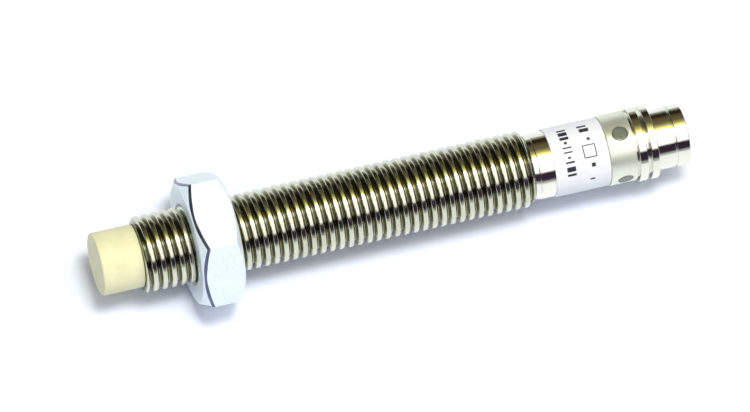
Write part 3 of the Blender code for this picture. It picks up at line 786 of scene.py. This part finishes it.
def key_rib():
    """The rib that keys the plug: its section along the axis, pushed sideways, with narrowed sides at its foot."""
    section = softened(KEY_SECTION, KEY_EDGE, 3)
    rows = len(section)
    sides = ((-KEY_HALF, KEY_EDGE), (-KEY_HALF + KEY_EDGE, 0.0), (KEY_HALF - KEY_EDGE, 0.0), (KEY_HALF, KEY_EDGE))
    points = [(x, side, -r + (narrow if r < KEY_FOOT else 0.0)) for side, narrow in sides for x, r in section]
    faces = []
    for k in range(len(sides) - 1):
        for i in range(rows):
            n = (i + 1) % rows
            faces.append((k * rows + i, k * rows + n, (k + 1) * rows + n, (k + 1) * rows + i))
    faces += [tuple(range(rows)), tuple((len(sides) - 1) * rows + i for i in range(rows))]
    return finish_mesh("rib", points, faces, black_plastic)


def plug_insert():
    start, end = INSERT
    face = [(end - point[0], *point[1:]) for point in INSERT_RIM]
    outline = softened([(start, 0.0), (start, INSERT_RADIUS), *face], closed=False)
    insert = carved(lathe("plug_insert", outline, black_plastic, closed=False), key_rib(), "UNION")
    ring = softened([(end - depth, PIN_RADIUS + gap) for depth, gap in PIN_COLLAR], EDGE)
    collars = [moved(lathe("collar", ring, black_plastic, sides=PIN_SIDES), (0, y, z)) for y, z in PIN_PLACES]
    return joined(insert, collars)


def contact_pin(number):
    y, z = PIN_PLACES[number]
    low, high = (value / MM for value in (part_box(f"contact_pin_{number + 1}")[k].x for k in (0, 1)))
    shoulder = INSERT[0] + PIN_SHOULDER
    outline = softened([(low, 0.0), (low, PIN_TAIL_RADIUS), (shoulder, PIN_TAIL_RADIUS), (shoulder, PIN_RADIUS)],
                       closed=False)
    for k in range(PIN_DOME_STEPS + 1):
        t = math.radians(90 / PIN_DOME_STEPS * k)
        outline.append((high - PIN_RADIUS + PIN_RADIUS * math.sin(t), PIN_RADIUS * math.cos(t)))
    pin = lathe(f"contact_pin_{number + 1}_fine", outline, gold, sides=PIN_SIDES, closed=False)
    return moved(pin, (0, y, z))


fitted(sensing_cap(), "sensor", "ivory_plastic", "sensing_cap")
fitted(threaded_barrel(), "sensor", "nickel_plating", "threaded_barrel")
fitted(lock_nut(), "nut", "bright_nut_plating", "lock_nut")
fitted(nut_lining(), "nut_carrier", "bright_nut_plating", "lock_nut_thread")
fitted(label(), "sensor", "label_film", "label_sleeve")
marks = label_marks()
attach(marks, "sensor")
fitted(rear_housing(), "sensor", "satin_nickel", "connector_shell")
fitted(light_guide(), "sensor", "clear_polycarbonate", "light_guide")
fitted(plug_insert(), "sensor", "insert_plastic", "contact_carrier")
for number in range(3):
    fitted(contact_pin(number), "sensor", "gold_plating", f"contact_pin_{number + 1}")
dress_inner_nodes()


# ---------------------------------------------------------------- studio

def floor():
    s = Surface("floor_paper", Specular_IOR_Level=0.2)
    soft = s.noise(s.stretched((0.02, 0.02, 0.02)), detail=3.0)
    tooth = s.noise(s.stretched((1.5, 1.5, 1.5)), detail=6.0)
    s.set("Base Color", s.ramp(s.mix(0.3, soft, tooth), ((0.3, (0.75, 0.80, 0.91)), (0.7, (0.80, 0.85, 0.94)))))
    s.set("Roughness", s.grey(tooth, 0.7, 0.85))
    s.bump((tooth, 0.02, 0.15))
    mesh = bpy.data.meshes.new("studio_floor")
    half, height = FLOOR_HALF, -(0.5 * NUT_FLATS + FLOOR_GAP) * MM
    mesh.from_pydata([(-half, -half, height), (half, -half, height), (half, half, height), (-half, half, height)],
                     [], [(0, 1, 2, 3)])
    mesh.materials.append(s.material)
    piece = bpy.data.objects.new("studio_floor", mesh)
    bpy.context.scene.collection.objects.link(piece)


# Brightness of the room from the horizon behind the sensor, over the top, to the horizon in front of it,
# as (degrees from the zenith, colour). The middle of the room faces the sensor's side; the sides are at its ends.
ROOM_MIDDLE = (
    (-90, (0.50, 0.52, 0.48)), (-82, (0.26, 0.25, 0.20)), (-76, (0.03, 0.02, 0.01)), (-62, (0.03, 0.02, 0.01)),
    (-54, (0.10, 0.08, 0.04)), (-33, (0.17, 0.145, 0.065)), (-22, (0.52, 0.46, 0.18)), (-13, (1.4, 1.28, 0.42)),
    (-8, (1.6, 1.5, 0.9)), (-5, (5.0, 5.0, 5.0)), (6, (5.0, 5.0, 5.0)),
    (9, (1.7, 1.7, 1.7)), (36, (1.7, 1.66, 1.74)), (48, (1.4, 1.3, 1.38)),
    (53, (0.03, 0.015, 0.035)), (78, (0.04, 0.025, 0.05)), (84, (0.42, 0.44, 0.42)), (90, (0.55, 0.60, 0.66)),
)
ROOM_SIDES = (
    (-90, (0.30, 0.32, 0.36)), (-70, (0.16, 0.18, 0.20)), (-50, (0.03, 0.03, 0.03)), (-6, (0.04, 0.035, 0.03)),
    (2, (1.6, 1.6, 1.6)), (26, (1.6, 1.6, 1.65)), (32, (0.04, 0.03, 0.06)), (78, (0.04, 0.04, 0.09)),
    (86, (0.30, 0.36, 0.44)),
)
ROOM_ENDS = (0.05, 0.06, 0.11)
FAR_FLOOR = (0.70, 0.73, 0.79)  # what the camera sees past the floor: the tone of its far end
# How far along the axis a direction leans: the middle's centre, and where the middle and then the sides fade out
ROOM_CENTRE = 0.19
ROOM_EDGE = (0.30, 0.50)
ENDS_EDGE = (0.75, 0.92)


def room_ramp(nodes, links, angle, bands):
    ramp = nodes.new("ShaderNodeValToRGB")
    links.new(angle, ramp.inputs[0])
    elements = ramp.color_ramp.elements
    for k, (degrees, colour) in enumerate(bands):
        element = elements[k] if k < 2 else elements.new((degrees + 90) / 180)
        element.position = (degrees + 90) / 180
        element.color = (*colour, 1.0)
    return ramp.outputs[0]


def room():
    world = bpy.data.worlds.new("studio")
    bpy.context.scene.world = world
    world.use_nodes = True
    nodes, links = world.node_tree.nodes, world.node_tree.links

    def maths(operation, first, second=0.0):
        made = nodes.new("ShaderNodeMath")
        made.operation = operation
        for k, value in enumerate((first, second)):
            if isinstance(value, bpy.types.NodeSocket):
                links.new(value, made.inputs[k])
            else:
                made.inputs[k].default_value = value
        return made.outputs[0]

    direction = nodes.new("ShaderNodeSeparateXYZ")
    links.new(nodes.new("ShaderNodeTexCoord").outputs["Generated"], direction.inputs[0])
    along, across, height = direction.outputs
    angle = maths("ARCTAN2", maths("MULTIPLY", across, -1.0), height)
    share = maths("ADD", maths("DIVIDE", angle, math.pi), 0.5)

    def blended(value, limits, first, second):
        edge = nodes.new("ShaderNodeMapRange")
        edge.interpolation_type = "SMOOTHSTEP"
        edge.inputs["From Min"].default_value, edge.inputs["From Max"].default_value = limits
        links.new(value, edge.inputs["Value"])
        made = nodes.new("ShaderNodeMix")
        made.data_type = "RGBA"
        links.new(edge.outputs[0], made.inputs[0])
        links.new(first, made.inputs[6])
        if isinstance(second, bpy.types.NodeSocket):
            links.new(second, made.inputs[7])
        else:
            made.inputs[7].default_value = (*second, 1.0)
        return made.outputs[2]

    middle, sides = (room_ramp(nodes, links, share, bands) for bands in (ROOM_MIDDLE, ROOM_SIDES))
    colour = blended(maths("ABSOLUTE", maths("SUBTRACT", along, ROOM_CENTRE)), ROOM_EDGE, middle, sides)
    colour = blended(maths("ABSOLUTE", along), ENDS_EDGE, colour, ROOM_ENDS)
    lit = nodes["Background"]
    links.new(colour, lit.inputs["Color"])
    backdrop = nodes.new("ShaderNodeBackground")
    backdrop.inputs["Color"].default_value = (*FAR_FLOOR, 1.0)
    choose = nodes.new("ShaderNodeMixShader")
    links.new(nodes.new("ShaderNodeLightPath").outputs["Is Camera Ray"], choose.inputs[0])
    links.new(lit.outputs[0], choose.inputs[1])
    links.new(backdrop.outputs[0], choose.inputs[2])
    links.new(choose.outputs[0], nodes["World Output"].inputs["Surface"])


def soft_light(name, place, size, power, colour):
    light = bpy.data.lights.new(name, "AREA")
    light.shape = "DISK"
    light.size = size
    light.energy = power
    light.color = colour
    lamp = bpy.data.objects.new(name, light)
    lamp.location = place
    lamp.visible_glossy = False
    lamp.rotation_mode = "QUATERNION"
    lamp.rotation_quaternion = (Vector(KEY_AIM) - Vector(place)).to_track_quat("-Z", "Y")
    bpy.context.scene.collection.objects.link(lamp)
    return lamp


def camera():
    back = Vector((-math.sin(VIEW_YAW), -math.cos(VIEW_YAW) * math.cos(VIEW_PITCH),
                   math.cos(VIEW_YAW) * math.sin(VIEW_PITCH)))
    level = Vector((1, 0, 0)) - back.x * back
    level.normalize()
    right = Matrix.Rotation(-VIEW_ROLL, 3, back) @ level
    up = back.cross(right)
    aim = Vector(VIEW_AIM) - VIEW_OFFSET[0] * right - VIEW_OFFSET[1] * up
    data = bpy.data.cameras.new("camera")
    data.sensor_width = SENSOR_WIDTH
    data.lens = LENS
    data.clip_start, data.clip_end = NEAR_CLIP, FAR_CLIP
    eye = bpy.data.objects.new("camera", data)
    eye.location = (aim + VIEW_DISTANCE * back) * MM
    eye.rotation_mode = "QUATERNION"
    eye.rotation_quaternion = Matrix((right, up, back)).transposed().to_quaternion()
    bpy.context.scene.collection.objects.link(eye)
    bpy.context.scene.camera = eye


floor()
room()
soft_light("key", KEY_PLACE, KEY_SIZE, KEY_POWER, KEY_COLOUR)
camera()
bpy.context.scene.view_settings.view_transform = "Standard"
